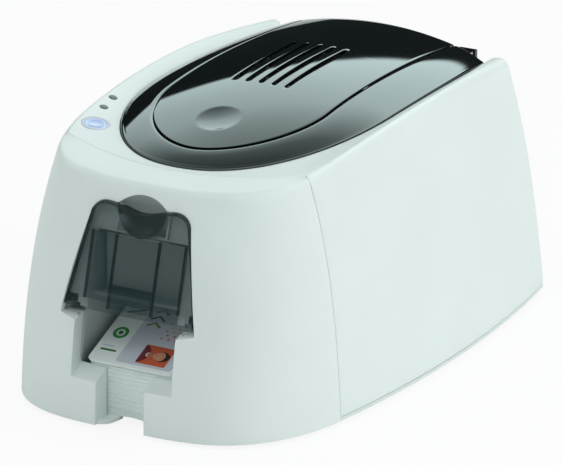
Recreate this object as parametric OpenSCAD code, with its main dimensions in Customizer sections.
// Desktop ID card printer: a bowed white case, a domed black lid on a rear hinge, a smoked feeder door and an
// output hopper at the front. Lengths are in millimetres.
// In the modules, x is measured from the middle, y rearwards from the nose of the case, and z up from the
// case's lower edge.

/* [Case] */
// Width of the case at its widest
body_w = 205; // [200:1:212]
// Length of the case along the floor
body_l = 320; // [316:1:326]
// How far the back leans forwards at its top
rear_rake = 31; // [28:1:32]
// Height of the front edge of the case at its middle
nose_h = 132.5; // [131.5:0.5:133]
// Height of the case at its front corners
corner_h = 137; // [136.5:0.5:138]
// Height of the case at its rear corners
rear_h = 146; // [145.5:0.5:147]
// How far the side edges arch above a straight line
side_arch = 7; // [6.5:0.5:8]
// How far the front leans back at its top
nose_back = 32; // [31.5:0.5:32.5]
// How far each side leans in evenly
side_lean = 5.3; // [5:0.1:5.8]
// How far each side curls in further at the top
side_curl = 12; // [11.5:0.5:12.5]
// Share of the width lost at the ends of the sides
side_bulge = 0.16; // [0.15:0.01:0.17]
// Roundness of the plan's front corners
corner_power = 3.6; // [3.4:0.1:3.8]
// Thickness of the case panels
wall = 2.5; // [2.2:0.1:2.8]
// Open seam between case panels
seam_gap = 0.4; // [0.3:0.1:0.6]
// Height of the base strip that shows below the side panels
strip_h = 2; // [1.6:0.2:2.4]
// Depth of the brow between the front face and the top
brow_d = 16.5; // [16:0.5:17]
// How far the feet stand below the case
foot_h = 2; // [1.5:0.5:4]
// Radius of the feet
foot_r = 8; // [6:0.5:10]

/* [Lid] */
// Distance from the side of the case, where it is widest, to the edge of the lid
lid_inset = 28.7; // [28.1:0.1:29.5]
// Distance from the nose of the case to the tip of the lid
lid_tip = 60.4; // [60:0.2:61.4]
// Distance from the rear edge of the lid to that of the case at the top
lid_back_inset = 6; // [5.6:0.2:6.6]
// Thickness of the lid and its insert
lid_t = 2.5; // [2.2:0.1:2.8]
// How far the lid stands above the rim round it
lid_proud = 1.4; // [1:0.1:1.6]
// Gap between the lid and the rim round it
lid_gap = 0.6; // [0.5:0.1:0.8]
// Distance from the edge of the lid to its raised insert
insert_inset = 24.3; // [23:0.1:25.8]
// Distance from the nose of the case to the tip of the insert
insert_tip = 83; // [82:0.5:85]
// Radius of the thumb dish
dish_r = 12.5; // [11:0.5:13]
// Number of vent slots in the insert
vent_count = 5; // [3:2:5]
// Distance between vent slots
vent_pitch = 8.2; // [7.6:0.2:8.6]
// Width of a vent slot
vent_w = 3.2; // [2.4:0.2:4]
// Radius of the lid's hinge pins
hinge_pin_r = 2; // [1.6:0.1:2.4]

/* [Feeder door] */
// Half width of the door at its foot
door_half = 41; // [40:0.5:41.5]
// Height of the door's foot above the case's lower edge
door_foot_z = 62; // [61.5:0.5:63]
// Height of the door along its own slope
door_h = 58.5; // [58:0.5:59]
// Thickness of the door
door_t = 2; // [1.8:0.1:2.2]
// Gap round the door
door_gap = 0.7; // [0.6:0.1:0.9]
// Radius of the finger scoop in the door
scoop_r = 14.7; // [13:0.5:15]
// Radius of the door's hinge pins
door_pin_r = 1.5; // [1.2:0.1:1.8]

/* [Hopper] */
// Half width of the card hopper
hopper_half = 31.9; // [31.6:0.1:32.4]
// Half width of the finger slot under the hopper
slot_half = 15.4; // [14:0.2:17]
// Height of the lips beside the finger slot
lip_h = 24.2; // [23.6:0.2:25]
// Height of the ledges below the door
ledge_h = 57; // [56.6:0.2:57.4]
// Depth of the lips, front to back
lip_d = 11; // [10.8:0.1:11.4]
// Slope of the output tray
tray_pitch = 23.6; // [22.6:0.2:24]
// Number of printed cards below the top one
stack_count = 30; // [10:1:30]
// Number of blank cards in the feeder
blank_count = 40; // [10:1:44]

/* [Cards] */
// Width of a card
card_w = 54; // [53.9:0.1:54.1]
// Length of a card
card_l = 85.6; // [85.4:0.1:85.8]
// Thickness of a card
card_t = 0.76; // [0.7:0.02:0.78]
// Radius of a card's corners
card_r = 3.2; // [2:0.2:4]

/* [Controls] */
// Radius of the power button
button_r = 6.2; // [5:0.2:6.6]
// Outer radius of the light ring round the button
ring_r = 8; // [7.6:0.2:8.4]
// Travel of the power button
button_travel = 1.2; // [0.8:0.1:1.4]
// Radius of the indicator lenses
lens_r = 2.4; // [1.8:0.1:2.8]

/* [Card transport] */
// Radius of the drive rollers
roller_r = 6; // [5.6:0.1:6.2]
// Radius of the pinch rollers
pinch_r = 5; // [4.6:0.1:5.2]
// Radius of the roller shafts
shaft_r = 3; // [2.6:0.1:3.2]
// Height of the card path
path_z = 68; // [67.6:0.2:68.2]
// Half distance between the chassis plates
chassis_half = 34; // [33.8:0.1:34.4]
// Thickness of the chassis plates
plate_t = 1.5; // [1.2:0.1:2]
// Radius of the belt pulleys
pulley_r = 7; // [6.6:0.1:7.4]
// Radius of the motor's pulley
motor_pulley_r = 5; // [4.8:0.1:5.4]
// Width of the drive belt
belt_w = 5; // [4:0.5:6]
// Thickness of the drive belt
belt_t = 1.2; // [1:0.1:1.4]
// Radial gap between a shaft and its bore
run_gap = 0.05; // [0.03:0.01:0.08]
// Radius of the ribbon on the supply spool
supply_r = 17; // [12:0.5:18]
// Radius of the ribbon on the take-up spool
takeup_r = 13; // [9:0.5:14]
// Teeth of the take-up gear
gear_teeth = 36; // [30:2:36]
// Teeth of the ribbon motor's pinion
pinion_teeth = 12; // [12:2:14]
// Module of the ribbon gears
gear_module = 0.8; // [0.8:0.01:0.82]

/* [Hidden] */
$fn = 48;

white = [0.86, 0.89, 0.88];
gloss_black = [0.09, 0.11, 0.12];
smoke = [0.2, 0.24, 0.25, 0.6];
steel = [0.7, 0.71, 0.72];
rubber = [0.12, 0.12, 0.13];
board_green = [0.08, 0.32, 0.2];

// Driving values that follow from the sizes above.
case_half = body_w / 2;
top_l = body_l - rear_rake;
lid_end = top_l - lid_back_inset;
lid_half = case_half - lid_inset;
insert_half = lid_half - insert_inset;
seam_foot = 72.5;
seam_top = 69;
corner_foot = 101;
corner_shift = 12;
widest_y = 171;
bulge_span = 160;
curl_power = 2.8;
crease_inset = 2;
crease_half = case_half - 27.4;
card_gap = 0.02;
card_rise = (card_t + card_gap) / cos(tray_pitch);
stack_y = lip_d + 2.2;
stack_z = 6.4;
shelf_z = path_z;
blank_y = 30;
blank_z = shelf_z + 0.3;
drive_z = path_z - roller_r;
pinch_z = path_z + card_t + 0.1 + pinch_r;
roller_y = [100, 140, 186, 228];
pinch_y = [roller_y[1], roller_y[3]];
cleaner_y = 122;
takeup_at = [132, 105];
supply_at = [236, 104];
ribbon_angle = -45;
gear_span = gear_module * (gear_teeth + pinion_teeth) / 2;
pinion_at = [takeup_at[0] + gear_span * cos(ribbon_angle), takeup_at[1] + gear_span * sin(ribbon_angle)];
motor_at = [156, 34];
plate_out = chassis_half + plate_t;
belt_x = plate_out + 2;
hinge_at = [lid_end + 3, 141];
knuckle_r = 4;
arm_x = lid_half - 27.8;
arm_w = 5.5;
lug_x = arm_x + arm_w + 0.5;
lug_w = 4;
bar_z = 134;
bar_t = 2.5;
bar_half = case_half - 31.5;
bar_y = [279.5, 287.4];
skirt_z = 137.2;
door_set = 3.4;
door_y = nose_back * pow(door_foot_z / nose_h, 2) + door_set;
door_lean = atan((nose_back * pow((door_foot_z + door_h) / nose_h, 2) - door_y) / door_h);
door_axis = [door_y + 5.6, door_foot_z + 2];
barrel_r = 3;
backing_back = 4.2;
feeder_half = card_w / 2 + 1.5;
hopper_wall = 2;
button_at = [34 - case_half, 87.5];
lens_at = [[27.1 - case_half, 107], [24.9 - case_half, 120]];
board_z = 124.5;
board_t = 1.6;
board_x = [22.5 - case_half, 42.5 - case_half];
board_y = [78, 128];
board_post = [[38.5 - case_half, 104, 11], [30 - case_half, 98, 12]];
rear_tilt = atan(rear_rake / rear_h);
socket_x = 38.3 - case_half;
screw_at = [[41, 97], [41, 247]];

// Plan and height of the case's skin; t runs from 0 at the lower edge to 1 at the shoulder.
function lean(t) = side_lean * t + side_curl * pow(t, curl_power);
function nose_y(t) = nose_back * t * t;
function corner_y(t) = corner_foot + corner_shift * t;
function rear_y(t) = body_l - rear_rake * t;
function seam_y(t) = seam_foot + (seam_top - seam_foot) * t;
function bulge(y) = 1 - side_bulge * pow((y - widest_y) / bulge_span, 2);
function flat_half(y, t) = (case_half - lean(t)) * bulge(y);
function squircle(c) = pow(max(0, 1 - pow(max(0, c), corner_power)), 1 / corner_power);
function half_at(y, t) = flat_half(y, t) * squircle((corner_y(t) - y) / (corner_y(t) - nose_y(t)));
function along(y) = (y - seam_top) / (top_l - seam_top);
function shoulder_z(y) = y < seam_top
    ? nose_h + (corner_h - nose_h) * sqrt(max(0, (y - nose_back) / (seam_top - nose_back)))
    : corner_h + (rear_h - corner_h) * along(y) + side_arch * 4 * along(y) * (1 - along(y));
// Depth at which a piece clears the inside of the front cover.
function behind_front(x, z) = let (t = z / nose_h)
    corner_y(t) - (corner_y(t) - nose_y(t)) * squircle(x / flat_half(nose_y(t) + 4, t)) + wall + 1;
function mix(a, b, k) = a * (1 - k) + b * k;
function bend(a, b, c, k) = a * pow(1 - k, 2) + b * 2 * k * (1 - k) + c * k * k;

// Plan of the lid and of its raised insert, and the dome that both follow.
lid_wide_y = 170;
lid_power = 2.2;
insert_wide_y = 145;
dome_rise = 12.2;
dome_mid_y = 212;
dome_edge_z = 145.6;
function tip_y(wide, tip, a) = wide - (wide - tip) * pow(cos(a), 2 / lid_power);
function tip_half(half, a) = half * pow(sin(a), 2 / lid_power);
function lid_half_at(y) = y < lid_wide_y
    ? lid_half * pow(max(0, 1 - pow((lid_wide_y - y) / (lid_wide_y - lid_tip), lid_power)), 1 / lid_power)
    : lid_half - 5.2 * pow(max(0, y - lid_wide_y - 5) / 100, 2);
function edge_z(y) = dome_edge_z - pow(y - dome_mid_y, 2) / 1850;
function rise_at(y) = y > dome_mid_y
    ? dome_rise - pow((y - dome_mid_y) / 69, 2)
    : dome_rise * pow(max(0, 1 - pow((dome_mid_y - y) / (dome_mid_y - lid_tip), 2.6)), 1.2);
function dome_z(x, y) = edge_z(y) + rise_at(y) * max(0, 1 - pow(x / max(1, lid_half_at(y)), 2));

// Crease between the side panels and the top rim, and between the front cover and the top rim.
function side_crease(y) = let (
        ring = half_at(y, 1),
        run = min(1, max(0, (y - lid_wide_y) / 115)),
        x = ring - max(crease_inset, (ring - lid_half_at(y) - 3) * pow(run, 1.5)),
        k = min(1, (x - lid_half_at(y)) / (ring - lid_half_at(y))))
    [x, y, mix(edge_z(y), shoulder_z(y), k)];
function brow_crease(s) = let (x = crease_half * s)
    [x, seam_top - seam_gap / 2 - brow_d * (1 - s * s), nose_h + (corner_h - nose_h) * s * s];

// Point of the front cover's skin: s runs from -1 to 1 across the front, inset goes inwards.
function ring(s, t, inset) = let (
        depth = corner_y(t) - nose_y(t) - inset,
        sweep = acos(pow((corner_y(t) - seam_y(t) + seam_gap / 2) / depth, corner_power / 2)),
        a = sweep * abs(s),
        y = corner_y(t) - depth * pow(cos(a), 2 / corner_power),
        x = (flat_half(y, t) - inset) * pow(sin(a), 2 / corner_power))
    [sign(s) * x, y, t * shoulder_z(y)];
function down(p, d) = p - [0, 0, d];

// Closed solid between two grids of points, the first one outside.
module sheet(outer, inner, flip = false) {
    rows = len(outer);
    cols = len(outer[0]);
    back = rows * cols;
    points = concat([for (row = outer) for (p = row) p], [for (row = inner) for (p = row) p]);
    quads = concat(
        [for (i = [0:rows - 2], j = [0:cols - 2])
            [i * cols + j, (i + 1) * cols + j, (i + 1) * cols + j + 1, i * cols + j + 1]],
        [for (i = [0:rows - 2], j = [0:cols - 2])
            [back + i * cols + j + 1, back + (i + 1) * cols + j + 1,
                back + (i + 1) * cols + j, back + i * cols + j]],
        [for (i = [0:rows - 2]) [i * cols, back + i * cols, back + (i + 1) * cols, (i + 1) * cols]],
        [for (i = [1:rows - 1])
            [i * cols + cols - 1, back + i * cols + cols - 1, back + i * cols - 1, i * cols - 1]],
        [for (j = [0:cols - 2]) [j + 1, back + j + 1, back + j, j]],
        [for (j = [0:cols - 2]) let (k = (rows - 1) * cols + j) [k, back + k, back + k + 1, k + 1]]);
    faces = [for (q = quads) each [[q[0], q[1], q[2]], [q[0], q[2], q[3]]]];
    polyhedron(points, flip ? [for (f = faces) [f[2], f[1], f[0]]] : faces);
}

module placed() translate([0, -body_l / 2, foot_h]) children();
module both_sides() {
    children();
    mirror([1, 0, 0]) children();
}
// Rod along X, and a slab along X whose outline is given as [y, z] points.
module rod(x0, x1, at, r) translate([x0, at[0], at[1]]) rotate([0, 90, 0]) cylinder(r = r, h = x1 - x0);
module slab(x0, x1, outline)
    translate([x0, 0, 0]) rotate([90, 0, 90]) linear_extrude(x1 - x0) polygon(outline);
// Block along Y whose outline is given as [x, z] points.
module bar(y0, y1, outline)
    translate([0, y1, 0]) rotate([90, 0, 0]) linear_extrude(y1 - y0) polygon(outline);
module box(low, high) translate(low) cube(high - low);

// Half outline of the feeder door in its own plane: its side bows inwards and its top corner is round.
door_top_half = door_half - 12.1;
door_corner_r = 6;
function door_side(grow) = [for (k = [0:0.125:0.875]) let (u = k * (door_h - door_corner_r) / door_h / 0.875)
    [door_half + grow - 10.4 * u - 1.7 * u * u, door_foot_z + door_h * u]];
function door_corner(grow) = [for (a = [20:17.5:90])
    [door_top_half - door_corner_r + (door_corner_r + grow) * cos(a) + 0.6,
     door_foot_z + door_h - door_corner_r + (door_corner_r + grow) * sin(a)]];
notch_r = 22.6;
notch_z = 102.1;
function notch() = [for (a = [48:7:90]) [notch_r * cos(a), notch_z + notch_r * sin(a)]];
function mirrored(half) = concat(half, [for (i = [len(half) - 1:-1:0]) [-half[i][0], half[i][1]]]);
function window() = mirrored(concat(
    [[slot_half, -1], [slot_half, lip_h], [hopper_half, lip_h], [hopper_half, ledge_h],
        [door_half + 1.2, ledge_h]],
    door_side(door_gap), door_corner(door_gap), notch()));

module on_door() translate([0, door_y, door_foot_z]) rotate([-door_lean, 0, 0]) children();
function on_plane(half) = [for (p = mirrored(half)) [p[0], p[1] - door_foot_z]];
function behind_door(z) = door_y + (z - door_foot_z) * tan(door_lean) + backing_back / cos(door_lean);

// Base

arch_r = 39;
arch_h = 3;
boss_h = 6;
function base_outline(side, front, back) = mirrored(concat(
    [for (s = [0:0.1:1]) let (p = ring(s, 0, front)) [p[0], p[1]]],
    [for (k = [0:0.05:1]) let (y = mix(seam_foot + seam_gap, body_l - back, k)) [half_at(y, 0) - side, y]]));
module finger_arch() translate([0, -1, arch_h - arch_r]) rotate([-90, 0, 0])
    cylinder(r = arch_r, h = 27, $fn = 180);

module base_pan() color(white) placed() {
    difference() {
        union() {
            linear_extrude(strip_h) polygon(base_outline(0.3, wall + 0.3, 0.3));
            difference() {
                translate([0, 0, strip_h / 2]) linear_extrude(9)
                    polygon(base_outline(wall + 0.8, wall + 0.8, wall + 3.2));
                translate([0, 0, -1]) linear_extrude(20)
                    polygon(base_outline(wall + 2.8, wall + 2.8, wall + 5.2));
            }
            both_sides() for (at = screw_at) translate([at[0], at[1], 0]) cylinder(r = 4, h = boss_h);
        }
        both_sides() for (at = screw_at) translate([at[0], at[1], 1]) cylinder(r = 1.5, h = 9);
        finger_arch();
        box([-slot_half, -1, -1], [slot_half, stack_y - 0.2, 29]);
        both_sides() box([slot_half - 1.5, -1, strip_h], [hopper_half + hopper_wall + 0.4, 19, 32]);
    }
}

module feet() color(rubber) placed() both_sides() for (y = [46, body_l - 32])
    translate([case_half - 36.5, y, -foot_h]) cylinder(r = foot_r, h = foot_h);

module case_screws() color(steel) placed() both_sides() for (at = screw_at) translate([at[0], at[1], 0]) {
    translate([0, 0, 1.5]) cylinder(r = 1.5, h = 7);
    translate([0, 0, 7.5]) cylinder(r = 3, h = 2);
}

// Case

face_rows = [0, 0.15, 0.3, 0.45, 0.6, 0.72, 0.82, 0.91];
brow_rows = [0.25, 0.5, 0.75, 1];
front_cols = 14;
function front_wall(s) = wall * (1 - 0.6 * pow(abs(s), 6));
function brow_point(s, k, w) = bend(ring(s, 0.91, w), down(ring(s, 1, w), w),
    down(mix(ring(s, 1, 0), brow_crease(s), 0.45), w), k);

function front_grid(w) = [for (i = [0:len(face_rows) + len(brow_rows)])
    [for (j = [-front_cols:front_cols]) let (s = j / front_cols)
        i < len(face_rows) ? ring(s, face_rows[i], w)
        : i < len(face_rows) + len(brow_rows)
            ? brow_point(s, brow_rows[i - len(face_rows)], w > 0 ? front_wall(s) : 0)
            : down(brow_crease(s), w > 0 ? front_wall(s) : 0)]];

module front_cover() color(white) placed() difference() {
    sheet(front_grid(0), front_grid(wall), true);
    bar(-9, 60, window());
}

side_rows = [0, 0.1, 0.25, 0.4, 0.55, 0.68, 0.8, 0.89, 0.95];
curl_rows = [0.35, 0.7, 1];
side_cols = 20;
function side_y(v, t) = mix(seam_y(t) + seam_gap / 2, rear_y(t), v);
function side_point(v, k, w) = let (
        t = strip_h / corner_h + 0.003 + (1 - strip_h / corner_h - 0.003) * k,
        y = side_y(v, t))
    [half_at(y, t) - w, y, t * shoulder_z(y)];
function curl_point(v, k, w) = let (
        y = side_y(v, 1),
        top = side_crease(y),
        ring_x = half_at(y, 1),
        b = w > 0
            ? [max(top[0] + 0.4, ring_x - w), y, shoulder_z(y) - w - 0.5]
            : [ring_x, y, shoulder_z(y)])
    bend(side_point(v, 0.95, w), b, down(top, 0.8 * w), k);
function side_grid(w) = [for (i = [0:len(side_rows) + len(curl_rows) - 1])
    [for (j = [0:side_cols]) let (v = j / side_cols)
        i < len(side_rows)
            ? side_point(v, side_rows[i], w)
            : curl_point(v, curl_rows[i - len(side_rows)], w)]];

module side_panel() color(white) placed() sheet(side_grid(0), side_grid(wall), true);
module right_side_panel() side_panel();
module left_side_panel() mirror([1, 0, 0]) side_panel();

panel_top = 136;
function rear_half(z) = let (t = z / rear_h) half_at(rear_y(t), t) - wall - 0.5;
module on_rear() translate([0, body_l, 0]) rotate([90 + rear_tilt, 0, 0]) children();
module through(low, high) box([low[0], top_l - 8, low[1]], [high[0], body_l + 10, high[1]]);
usb_z = 18;
jack_z = 38;
socket_w = 12;
socket_h = 11;

module rear_panel() color(white) placed() difference() {
    on_rear() linear_extrude(wall) scale([1, 1 / cos(rear_tilt)]) polygon(mirrored(concat(
        [for (z = [strip_h + seam_gap:11:130]) [rear_half(z), z]],
        [[rear_half(142), 142], [bar_half + 0.5, 142], [bar_half - 4, panel_top]])));
    for (z = [usb_z, jack_z])
        through([socket_x - 0.4, z - 0.4], [socket_x + socket_w + 0.4, z + socket_h + 0.4]);
    through([case_half - 42.5, 40], [case_half - 35.5, 43]);
    for (i = [0:7]) through([-21, 60 + 7 * i], [21, 63 + 7 * i]);
}

// Top rim: stations run from the tip of the lid's opening round to its rear end.
rim_t = 2.2;
flange_d = 6;
flange_t = 1.6;
rim_split = 50;
function rim_outer_front(a) = a <= rim_split
    ? let (p = brow_crease(a / rim_split)) [p[0], p[1] + seam_gap, p[2]]
    : let (p = side_crease(mix(seam_top + seam_gap / 2, lid_wide_y, (a - rim_split) / (90 - rim_split))))
        p - [seam_gap, 0, 0];
function rim_inner_front(a) = let (
        y = tip_y(lid_wide_y, lid_tip - lid_gap, a),
        x = tip_half(lid_half + lid_gap, a))
    [x, y, edge_z(y) - lid_proud];
rim_ends = lid_end + 4;
function rim_half() = concat(
    [for (a = concat([for (i = [0:14]) 6.25 * i], [90])) [rim_outer_front(a), rim_inner_front(a)]],
    [for (k = [1:9]) let (y = mix(lid_wide_y, rim_ends, k / 9))
        [side_crease(y) - [seam_gap, 0, 0], [lid_half_at(y) + lid_gap, y, edge_z(y) - lid_proud]]]);
function rim_stations() = let (half = rim_half(), n = len(half)) concat(
    [for (i = [n - 1:-1:1]) [for (p = half[i]) [-p[0], p[1], p[2]]]], half);
function outward(s) = let (d = [s[0][0] - s[1][0], s[0][1] - s[1][1], 0]) d / norm(d);
module top_rim() color(white) placed() {
    stations = rim_stations();
    difference() {
        union() {
            sheet(
                [for (s = stations) [s[0], mix(s[0], s[1], 0.5), s[1], down(s[1], flange_d)]],
                [for (s = stations) let (out = flange_t * outward(s)) [
                    down(s[0], rim_t), down(mix(s[0], s[1], 0.5), rim_t),
                    down(s[1], rim_t) + out, down(s[1], flange_d) + out]], true);
            box([-bar_half, bar_y[0], bar_z], [bar_half, bar_y[1], bar_z + bar_t]);
            box([-10, lid_tip - lid_gap - 1, 127], [10, 66, 130.6]);
            both_sides() {
                box([lug_x, hinge_at[0] - knuckle_r, bar_z + 1], [lug_x + lug_w, bar_y[1], hinge_at[1]]);
                rod(lug_x, lug_x + lug_w, hinge_at, knuckle_r);
            }
            for (at = board_post) translate([at[0], at[1], board_z + board_t]) cylinder(r = 2, h = at[2]);
        }
        translate([button_at[0], button_at[1], 120]) cylinder(r = ring_r + 0.05, h = 30);
        for (at = lens_at) translate([at[0], at[1], 120]) cylinder(r = lens_r + 0.05, h = 30);
        both_sides() rod(lug_x - 1, lug_x + lug_w + 1, hinge_at, hinge_pin_r);
    }
}

// Lid

lid_back = lid_end - 2.4;
lid_cols = 8;
function dome_row(y, half, d) = [for (j = [-lid_cols:lid_cols]) let (x = half * j / lid_cols)
    [x, y, dome_z(x, y) - d]];
function lid_rows() = concat(
    [for (a = [6:8.4:90]) [tip_y(lid_wide_y, lid_tip, a), tip_half(lid_half, a)]],
    [for (k = [1:9]) let (y = mix(lid_wide_y, lid_back, k / 9)) [y, lid_half_at(y)]]);
function shifted(row, y, z) = [for (p = row) [p[0], y, p[2] + z]];
function levelled(row, y, z) = [for (p = row) [p[0], y, z]];
vent_y = [151.5, 215.5];
module vents() for (i = [0:vent_count - 1]) translate([(i - (vent_count - 1) / 2) * vent_pitch, 0, 120]) {
    box([-vent_w / 2, vent_y[0], 0], [vent_w / 2, vent_y[1], 60]);
    for (y = vent_y) translate([0, y, 0]) cylinder(r = vent_w / 2, h = 60);
}

module lid_shell() color(gloss_black) placed() difference() {
    rows = lid_rows();
    last = dome_row(lid_back, lid_half_at(lid_back), 0);
    sheet(
        concat([for (r = rows) dome_row(r[0], r[1], 0)],
            [shifted(last, lid_end - 0.6, -0.6), levelled(last, lid_end, skirt_z)]),
        concat([for (r = rows) dome_row(min(r[0], lid_back - 1), r[1], lid_t)],
            [shifted(last, lid_end - lid_t - 0.1, -lid_t - 0.4), levelled(last, lid_end - lid_t, skirt_z)]));
    vents();
    both_sides() box([arm_x - 0.5, lid_end - 8, 130], [lug_x + lug_w + 0.5, lid_end + 12, hinge_at[1] + 3.8]);
}

insert_t = 1.5;
insert_lift = 0.15;
insert_back = lid_back - 0.2;
function insert_rows() = concat(
    [for (a = [9:9:90]) [tip_y(insert_wide_y, insert_tip, a), tip_half(insert_half, a)]],
    [for (k = [1:10]) [mix(insert_wide_y, insert_back, k / 10), insert_half]]);
dish_y = 104.4;
dish_depth = 1;
dish_tilt = 16;
dish_ball = (dish_r * dish_r + dish_depth * dish_depth) / 2 / dish_depth;
module lid_insert() color(gloss_black) placed() difference() {
    rows = insert_rows();
    sheet(
        [for (r = rows) dome_row(r[0], r[1], -insert_lift - insert_t)],
        [for (r = rows) dome_row(r[0], r[1], -insert_lift)]);
    vents();
    translate([0, dish_y, dome_z(0, dish_y) + insert_lift + insert_t]) rotate([dish_tilt, 0, 0])
        translate([0, 0, dish_ball - dish_depth]) sphere(r = dish_ball, $fn = 160);
}

liner_drop = 0.4;
rib_h = 8;
function rib_top(y) = dome_z(arm_x + arm_w, y) - lid_t - liner_drop;
rib_y = [for (k = [0:8]) mix(104, lid_end - 15, k / 8)];
rib_span = [108, lid_end - 19];
rib_w = 4;
module lid_liner() color(rubber) placed() {
    both_sides() difference() {
        union() {
            slab(arm_x, arm_x + arm_w, concat([for (y = rib_y) [y, rib_top(y)]],
                [[hinge_at[0], hinge_at[1] + 2], [hinge_at[0], hinge_at[1] - 2],
                    [lid_end - 13, hinge_at[1] - 2]],
                [for (i = [8:-1:0]) [rib_y[i], rib_top(rib_y[i]) - rib_h]]));
            rod(arm_x, arm_x + arm_w, hinge_at, knuckle_r);
        }
        rod(arm_x - 1, arm_x + arm_w + 1, hinge_at, hinge_pin_r + run_gap);
    }
    for (y = rib_span)
        box([-arm_x, y - rib_w / 2, rib_top(y) - rib_h + 1], [arm_x, y + rib_w / 2, rib_top(y) - 1]);
}

module lid_hinge_pins() color(steel) placed() both_sides()
    rod(arm_x - 1, lug_x + lug_w + 0.5, hinge_at, hinge_pin_r);

head_y = [roller_y[2] - 14, roller_y[2] + 14];
head_z = path_z + 1.6;
head_h = 12;
bracket_z = 138;
module head_bracket() color(steel) placed() {
    box([-arm_x, roller_y[2] - 6, bracket_z], [arm_x, roller_y[2] + 6, bracket_z + 3]);
    both_sides() box([18, roller_y[2] - 4, head_z + head_h], [24, roller_y[2] + 4, bracket_z]);
}
module print_head() color(gloss_black) placed() {
    box([-card_w / 2 - 2, head_y[0], head_z + 2], [card_w / 2 + 2, head_y[1], head_z + head_h]);
    box([-card_w / 2 - 0.5, roller_y[2] - 3, head_z], [card_w / 2 + 0.5, roller_y[2] + 3, head_z + 2]);
}

// Feeder door

door_bow = 340;
module feeder_door() color(smoke) placed() difference() {
    union() {
        on_door() difference() {
            intersection() {
                bar(-6, door_t + 4, on_plane(concat(door_side(0), door_corner(0))));
                difference() {
                    translate([0, door_bow - 2.5, -9]) cylinder(r = door_bow, h = 90, $fn = 400);
                    translate([0, door_bow - 2.5, -10]) cylinder(r = door_bow - door_t, h = 92, $fn = 400);
                }
            }
            translate([0, -1, door_h - 2.5]) rotate([90, 0, 0]) cylinder(r = scoop_r, h = 9);
        }
        both_sides() {
            rod(door_half - 6.5, door_half - 0.4, door_axis, barrel_r);
            slab(door_half - 6.5, door_half - 2.5, [
                [door_y + 1.2, door_foot_z + 1], [door_axis[0], door_axis[1] - barrel_r],
                [door_axis[0], door_axis[1] + barrel_r], [door_y + 2.6, door_foot_z + 6]]);
        }
    }
    both_sides() rod(door_half - 11, door_half + 9, door_axis, door_pin_r + run_gap);
}

module door_hinge_pins() color(steel) placed() both_sides()
    rod(door_half - 5.5, pivot_out, door_axis, door_pin_r);

// Card bay behind the front cover

ledge_d = 24;
pivot_out = door_half + 4;
bay_end = 83.5;
lip_y = 6;
module card_bay() color(white) placed() difference() {
    union() {
        on_door() difference() {
            bar(backing_back, backing_back + 2, on_plane(concat(door_side(2.5), door_corner(2.5), notch())));
            bar(0, 20, [[-feeder_half, -9], [feeder_half, -9], [feeder_half, 43], [-feeder_half, 43]]);
            both_sides() bar(0, 20, [[33, -9], [60, -9], [60, 8], [33, 8]]);
        }
        box([-hopper_half - hopper_wall, 22, shelf_z - 2], [hopper_half + hopper_wall, bay_end, shelf_z]);
        both_sides() {
            slab(feeder_half, feeder_half + 2, [[behind_door(shelf_z), shelf_z - 1], [bay_end, shelf_z - 1],
                [bay_end, shelf_z + 38], [behind_door(shelf_z + 38), shelf_z + 38]]);
            slab(hopper_half, hopper_half + hopper_wall, [
                for (z = [ledge_h, ledge_h / 2, strip_h + 0.1])
                    [behind_front(hopper_half + hopper_wall, z), z],
                [bay_end, strip_h + 0.1], [bay_end, ledge_h]]);
            box([hopper_half, 20, ledge_h - 1], [hopper_half + hopper_wall, bay_end, shelf_z]);
            box([hopper_half, stack_y, ledge_h - 2], [pivot_out, ledge_d, ledge_h]);
            box([door_half + 0.4, behind_front(pivot_out, door_axis[1] + barrel_r), ledge_h - 1],
                [pivot_out, ledge_d, door_axis[1] + barrel_r]);
            slab(slot_half, hopper_half + 1, [[lip_y, lip_h - 0.5], [stack_y - 0.4, lip_h + 3],
                [stack_y - 0.4, lip_h + 1], [lip_y, lip_h - 2.5]]);
            slab(slot_half, slot_half + 2, [[lip_y, strip_h + 0.1], [lip_y, lip_h - 0.5],
                [stack_y - 0.4, lip_h + 3], [stack_y - 0.4, strip_h + 0.1]]);
        }
    }
    both_sides() rod(door_half, pivot_out + 1, door_axis, door_pin_r);
}

// Cards

module card_blank() linear_extrude(card_t) {
    square([card_w - 2 * card_r, card_l], center = true);
    square([card_w, card_l - 2 * card_r], center = true);
    for (i = [-1, 1], j = [-1, 1])
        translate([i * (card_w / 2 - card_r), j * (card_l / 2 - card_r)]) circle(r = card_r);
}
module stacked_card(i, y) translate([0, y, stack_z + i * card_rise]) rotate([tray_pitch, 0, 0])
    translate([0, card_l / 2, 0]) card_blank();

module printed_cards() color("white") placed() for (i = [0:stack_count - 1]) stacked_card(i, stack_y);
module top_card() color([0.7, 0.75, 0.72]) placed() stacked_card(stack_count, stack_y - 2.4);
module blank_cards() color("white") placed()
    for (i = [0:blank_count - 1])
        translate([0, blank_y + card_l / 2, blank_z + i * (card_t + card_gap)]) card_blank();
weight_z = blank_z + blank_count * (card_t + card_gap) + 0.1;
module card_weight() color(steel) placed() {
    box([-24, blank_y + 8, weight_z], [24, blank_y + 72, weight_z + 5]);
    box([-6, blank_y + 10, weight_z + 5], [6, blank_y + 14, weight_z + 9]);
}

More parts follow.
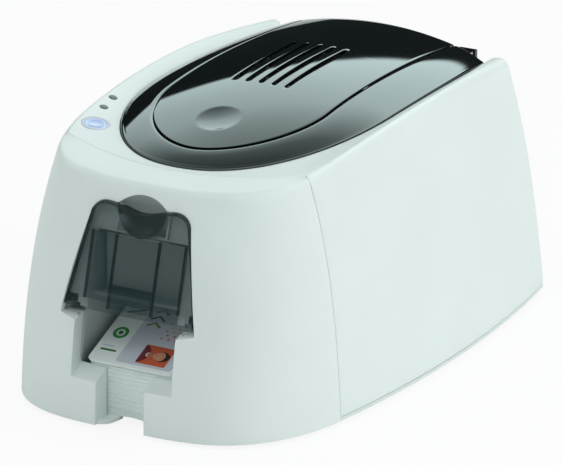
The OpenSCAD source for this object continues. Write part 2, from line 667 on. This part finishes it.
tray_end = 92;
tray_foot = 22;
tray_t = 2.4;
function tray_z(y) = stack_z - 0.1 + (y - stack_y) * tan(tray_pitch);
module output_tray() color(white) placed() difference() {
    slab(-hopper_half + 0.4, hopper_half - 0.4, [
        [stack_y - 0.2, strip_h + 0.1], [stack_y - 0.2, tray_z(stack_y)],
        [stack_y, tray_z(stack_y)], [tray_end, tray_z(tray_end)], [tray_end, 60], [tray_end + 2, 60],
        [tray_end + 2, strip_h + 0.1], [tray_end, strip_h + 0.1], [tray_end, tray_z(tray_end) - tray_t],
        [tray_foot, tray_z(tray_foot) - tray_t], [tray_foot, strip_h + 0.1]]);
    finger_arch();
}

// Controls

rim_face = 137.4;
module power_button() color([0.75, 0.85, 0.95]) placed()
    translate([button_at[0], button_at[1], rim_face - 4.4]) cylinder(r = button_r, h = 4.6);
module button_ring() color([0.8, 0.82, 0.82]) placed()
    translate([button_at[0], button_at[1], rim_face - 6]) difference() {
        cylinder(r = ring_r, h = 6);
        translate([0, 0, -1]) cylinder(r = button_r + run_gap, h = 9);
    }
module indicator_lenses() color([0.3, 0.33, 0.33]) placed() {
    for (i = [0, 1]) translate([lens_at[i][0], lens_at[i][1], board_z + 1.9])
        cylinder(r = lens_r, h = [13.6, 15][i]);
}
module control_board() color(board_green) placed() {
    difference() {
        box([board_x[0], board_y[0], board_z], [board_x[1], board_y[1], board_z + board_t]);
        for (y = [board_y[0] + 2, board_y[1] - 2]) translate([board_x[1] - 2, y, board_z - 1])
            cylinder(r = 1.2, h = 4);
    }
    translate([button_at[0], button_at[1], board_z + board_t])
        cylinder(r = 3, h = rim_face - 6.2 - button_travel - board_z);
}

// Chassis and card transport

plate_outline = [[84, 66], [84, 6], [262, 6], [262, 92], [252, 118], [220, 118], [208, 92], [166, 92],
    [150, 120], [118, 120], [108, 92], [96, 66]];
module chassis_plate() difference() {
    union() {
        slab(chassis_half, plate_out, plate_outline);
        for (at = screw_at)
            box([plate_out - 0.5, at[1] - 7, boss_h], [plate_out + 12, at[1] + 7, boss_h + plate_t]);
    }
    for (y = roller_y) rod(0, 60, [y, drive_z], 5);
    for (y = pinch_y) rod(0, 60, [y, pinch_z], 2 + run_gap);
    rod(0, 60, [cleaner_y, pinch_z], 2 + run_gap);
    rod(0, 60, takeup_at, shaft_r + run_gap);
    rod(0, 60, supply_at, shaft_r + run_gap);
    for (at = screw_at) translate([at[0], at[1], 0]) cylinder(r = 1.5, h = 20);
    children();
}
module right_chassis_plate() color(steel) placed() chassis_plate() rod(0, 60, motor_at, 5);
module left_chassis_plate() color(steel) placed()
    mirror([1, 0, 0]) chassis_plate() rod(0, 60, pinion_at, 3.5);
tie_at = [[112, 24], [205, 22], [254, 60], [158, 110]];
module chassis_tie_rods() color(steel) placed() for (at = tie_at) rod(-chassis_half, chassis_half, at, 2.5);
module roller_bushes() color([0.75, 0.6, 0.3]) placed() both_sides() for (y = roller_y) difference() {
    rod(chassis_half - 0.5, plate_out + 0.5, [y, drive_z], 5);
    rod(chassis_half - 1, plate_out + 1, [y, drive_z], shaft_r + run_gap);
}
module drive_roller(y) {
    rod(-plate_out - 2, belt_x + belt_w + 1, [y, drive_z], shaft_r);
    rod(-card_w / 2 - 1, card_w / 2 + 1, [y, drive_z], roller_r);
}
module feed_roller() color(rubber) placed() drive_roller(roller_y[0]);
module front_drive_roller() color(rubber) placed() drive_roller(roller_y[1]);
module platen_roller() color(rubber) placed() drive_roller(roller_y[2]);
module rear_drive_roller() color(rubber) placed() drive_roller(roller_y[3]);
module pulley(at, r, bore) difference() {
    union() {
        rod(belt_x, belt_x + belt_w, at, r);
        rod(belt_x - 0.8, belt_x, at, r + 1.5);
    }
    rod(belt_x - 2, belt_x + belt_w + 2, at, bore);
}
module feed_pulley() color("white") placed() pulley([roller_y[0], drive_z], pulley_r, shaft_r);
module front_pulley() color("white") placed() pulley([roller_y[1], drive_z], pulley_r, shaft_r);
module platen_pulley() color("white") placed() pulley([roller_y[2], drive_z], pulley_r, shaft_r);
module rear_pulley() color("white") placed() pulley([roller_y[3], drive_z], pulley_r, shaft_r);
module pinch_roller(y) {
    rod(-plate_out - 1, plate_out + 1, [y, pinch_z], 2);
    rod(-card_w / 2, card_w / 2, [y, pinch_z], pinch_r);
}
module front_pinch_roller() color(steel) placed() pinch_roller(pinch_y[0]);
module rear_pinch_roller() color(steel) placed() pinch_roller(pinch_y[1]);
module cleaning_roller() color([0.4, 0.6, 0.8]) placed() pinch_roller(cleaner_y);

motor_r = 14;
motor_shaft_r = 2;
module drive_motor() color(steel) placed() difference() {
    union() {
        rod(2, chassis_half, motor_at, motor_r);
        rod(chassis_half - 1, plate_out + 0.5, motor_at, 5);
    }
    rod(20, 50, motor_at, motor_shaft_r + run_gap);
}
module motor_pulley() color("white") placed() {
    pulley(motor_at, motor_pulley_r, motor_shaft_r);
    rod(20.5, belt_x + belt_w + 1, motor_at, motor_shaft_r);
}
belt_clear = 0.3;
module belt_loop(grow) hull() {
    for (at = [[roller_y[0], drive_z], [roller_y[3], drive_z]]) translate(at) circle(r = pulley_r + grow);
    translate(motor_at) circle(r = motor_pulley_r + grow);
}
module drive_belt() color(rubber) placed() translate([belt_x + 0.3, 0, 0]) rotate([90, 0, 90])
    linear_extrude(belt_w - 0.6) difference() {
        belt_loop(belt_clear + belt_t);
        belt_loop(belt_clear);
    }

// Ribbon

spool_half = 29.6;
module spool(at, r) {
    rod(-spool_half, spool_half, at, r);
    for (x = [-spool_half - 0.6, spool_half - 0.6]) rod(x, x + 1.2, at, r + 2);
    rod(-plate_out - 1, plate_out + 1, at, shaft_r);
}
module ribbon_supply_spool() color([0.15, 0.15, 0.2]) placed() spool(supply_at, supply_r);
module ribbon_takeup_spool() color([0.15, 0.15, 0.2]) placed() spool(takeup_at, takeup_r);
film_z = path_z + 1;
film_t = 0.2;
film_path = [[takeup_at[0] + takeup_r + 0.6, takeup_at[1]], [head_y[0] - 3, film_z], [head_y[1] + 3, film_z],
    [supply_at[0] - supply_r - 0.6, supply_at[1]]];
module ribbon_film() color([0.3, 0.2, 0.4]) placed()
    slab(-28, 28, concat(film_path, [for (i = [3:-1:0]) film_path[i] + [i < 2 ? film_t : -film_t, film_t]]));

gear_x = [-33.4, -30.5];
function tooth(r, a, half) = [r * cos(a + half), r * sin(a + half)];
module gear_plan(teeth, phase) {
    r = gear_module * teeth / 2;
    pitch = 360 / teeth;
    polygon([for (i = [0:teeth - 1]) let (a = phase + i * pitch) each [
        tooth(r - 1.25 * gear_module, a, -0.34 * pitch), tooth(r, a, -0.21 * pitch),
        tooth(r + 0.85 * gear_module, a, -0.1 * pitch), tooth(r + 0.85 * gear_module, a, 0.1 * pitch),
        tooth(r, a, 0.21 * pitch), tooth(r - 1.25 * gear_module, a, 0.34 * pitch)]]);
}
module gear(at, teeth, phase, bore) difference() {
    translate([gear_x[0], at[0], at[1]]) rotate([90, 0, 90]) linear_extrude(gear_x[1] - gear_x[0])
        gear_plan(teeth, phase);
    rod(gear_x[0] - 1, gear_x[1] + 1, at, bore);
}
module takeup_gear() color("white") placed() gear(takeup_at, gear_teeth, ribbon_angle, shaft_r);
module ribbon_pinion() color("gold") placed() {
    gear(pinion_at, pinion_teeth, ribbon_angle + 180 + 180 / pinion_teeth, motor_shaft_r);
    rod(-chassis_half - 12, gear_x[1], pinion_at, motor_shaft_r);
}
module ribbon_motor() color(steel) placed() difference() {
    union() {
        rod(-plate_out - 24, -plate_out, pinion_at, 9);
        rod(-plate_out - 1, -chassis_half + 0.2, pinion_at, 3.5);
    }
    rod(-chassis_half - 12.5, 0, pinion_at, motor_shaft_r + run_gap);
}

module card_sensor() color(rubber) placed()
    box([-chassis_half, roller_y[0] + 10, path_z - 13], [-chassis_half + 5, roller_y[0] + 16, path_z - 5]);

// Electronics at the left side

module main_board() color(board_green) placed()
    box([socket_x - 0.2 - board_t, body_l - 120, 6], [socket_x - 0.2, body_l - 28, 90]);
module rear_socket(z, front, bore) {
    y = body_l - (z + socket_h) * tan(rear_tilt) - 0.6;
    difference() {
        box([socket_x - 0.2, front, z], [socket_x + socket_w, y, z + socket_h]);
        translate([socket_x + socket_w / 2, y - 9, z + socket_h / 2])
            rotate([-90, 0, 0]) cylinder(r = bore, h = 20);
    }
}
module usb_socket() color(steel) placed() rear_socket(usb_z, body_l - 32, 4);
module power_socket() color(rubber) placed() {
    rear_socket(jack_z, body_l - 34, 3.2);
    translate([socket_x + socket_w / 2, body_l - 26, jack_z + socket_h / 2])
        rotate([-90, 0, 0]) cylinder(r = 1, h = 12);
}

base_pan();
front_cover();
left_side_panel();
right_side_panel();
rear_panel();
top_rim();
lid_shell();
lid_insert();
lid_liner();
lid_hinge_pins();
feeder_door();
door_hinge_pins();
card_bay();
output_tray();
printed_cards();
top_card();
blank_cards();
card_weight();
power_button();
button_ring();
indicator_lenses();
control_board();
left_chassis_plate();
right_chassis_plate();
chassis_tie_rods();
roller_bushes();
feed_roller();
front_drive_roller();
platen_roller();
rear_drive_roller();
feed_pulley();
front_pulley();
platen_pulley();
rear_pulley();
front_pinch_roller();
rear_pinch_roller();
cleaning_roller();
drive_motor();
motor_pulley();
drive_belt();
ribbon_supply_spool();
ribbon_takeup_spool();
ribbon_film();
takeup_gear();
ribbon_motor();
ribbon_pinion();
print_head();
head_bracket();
card_sensor();
main_board();
usb_socket();
power_socket();
feet();
case_screws();
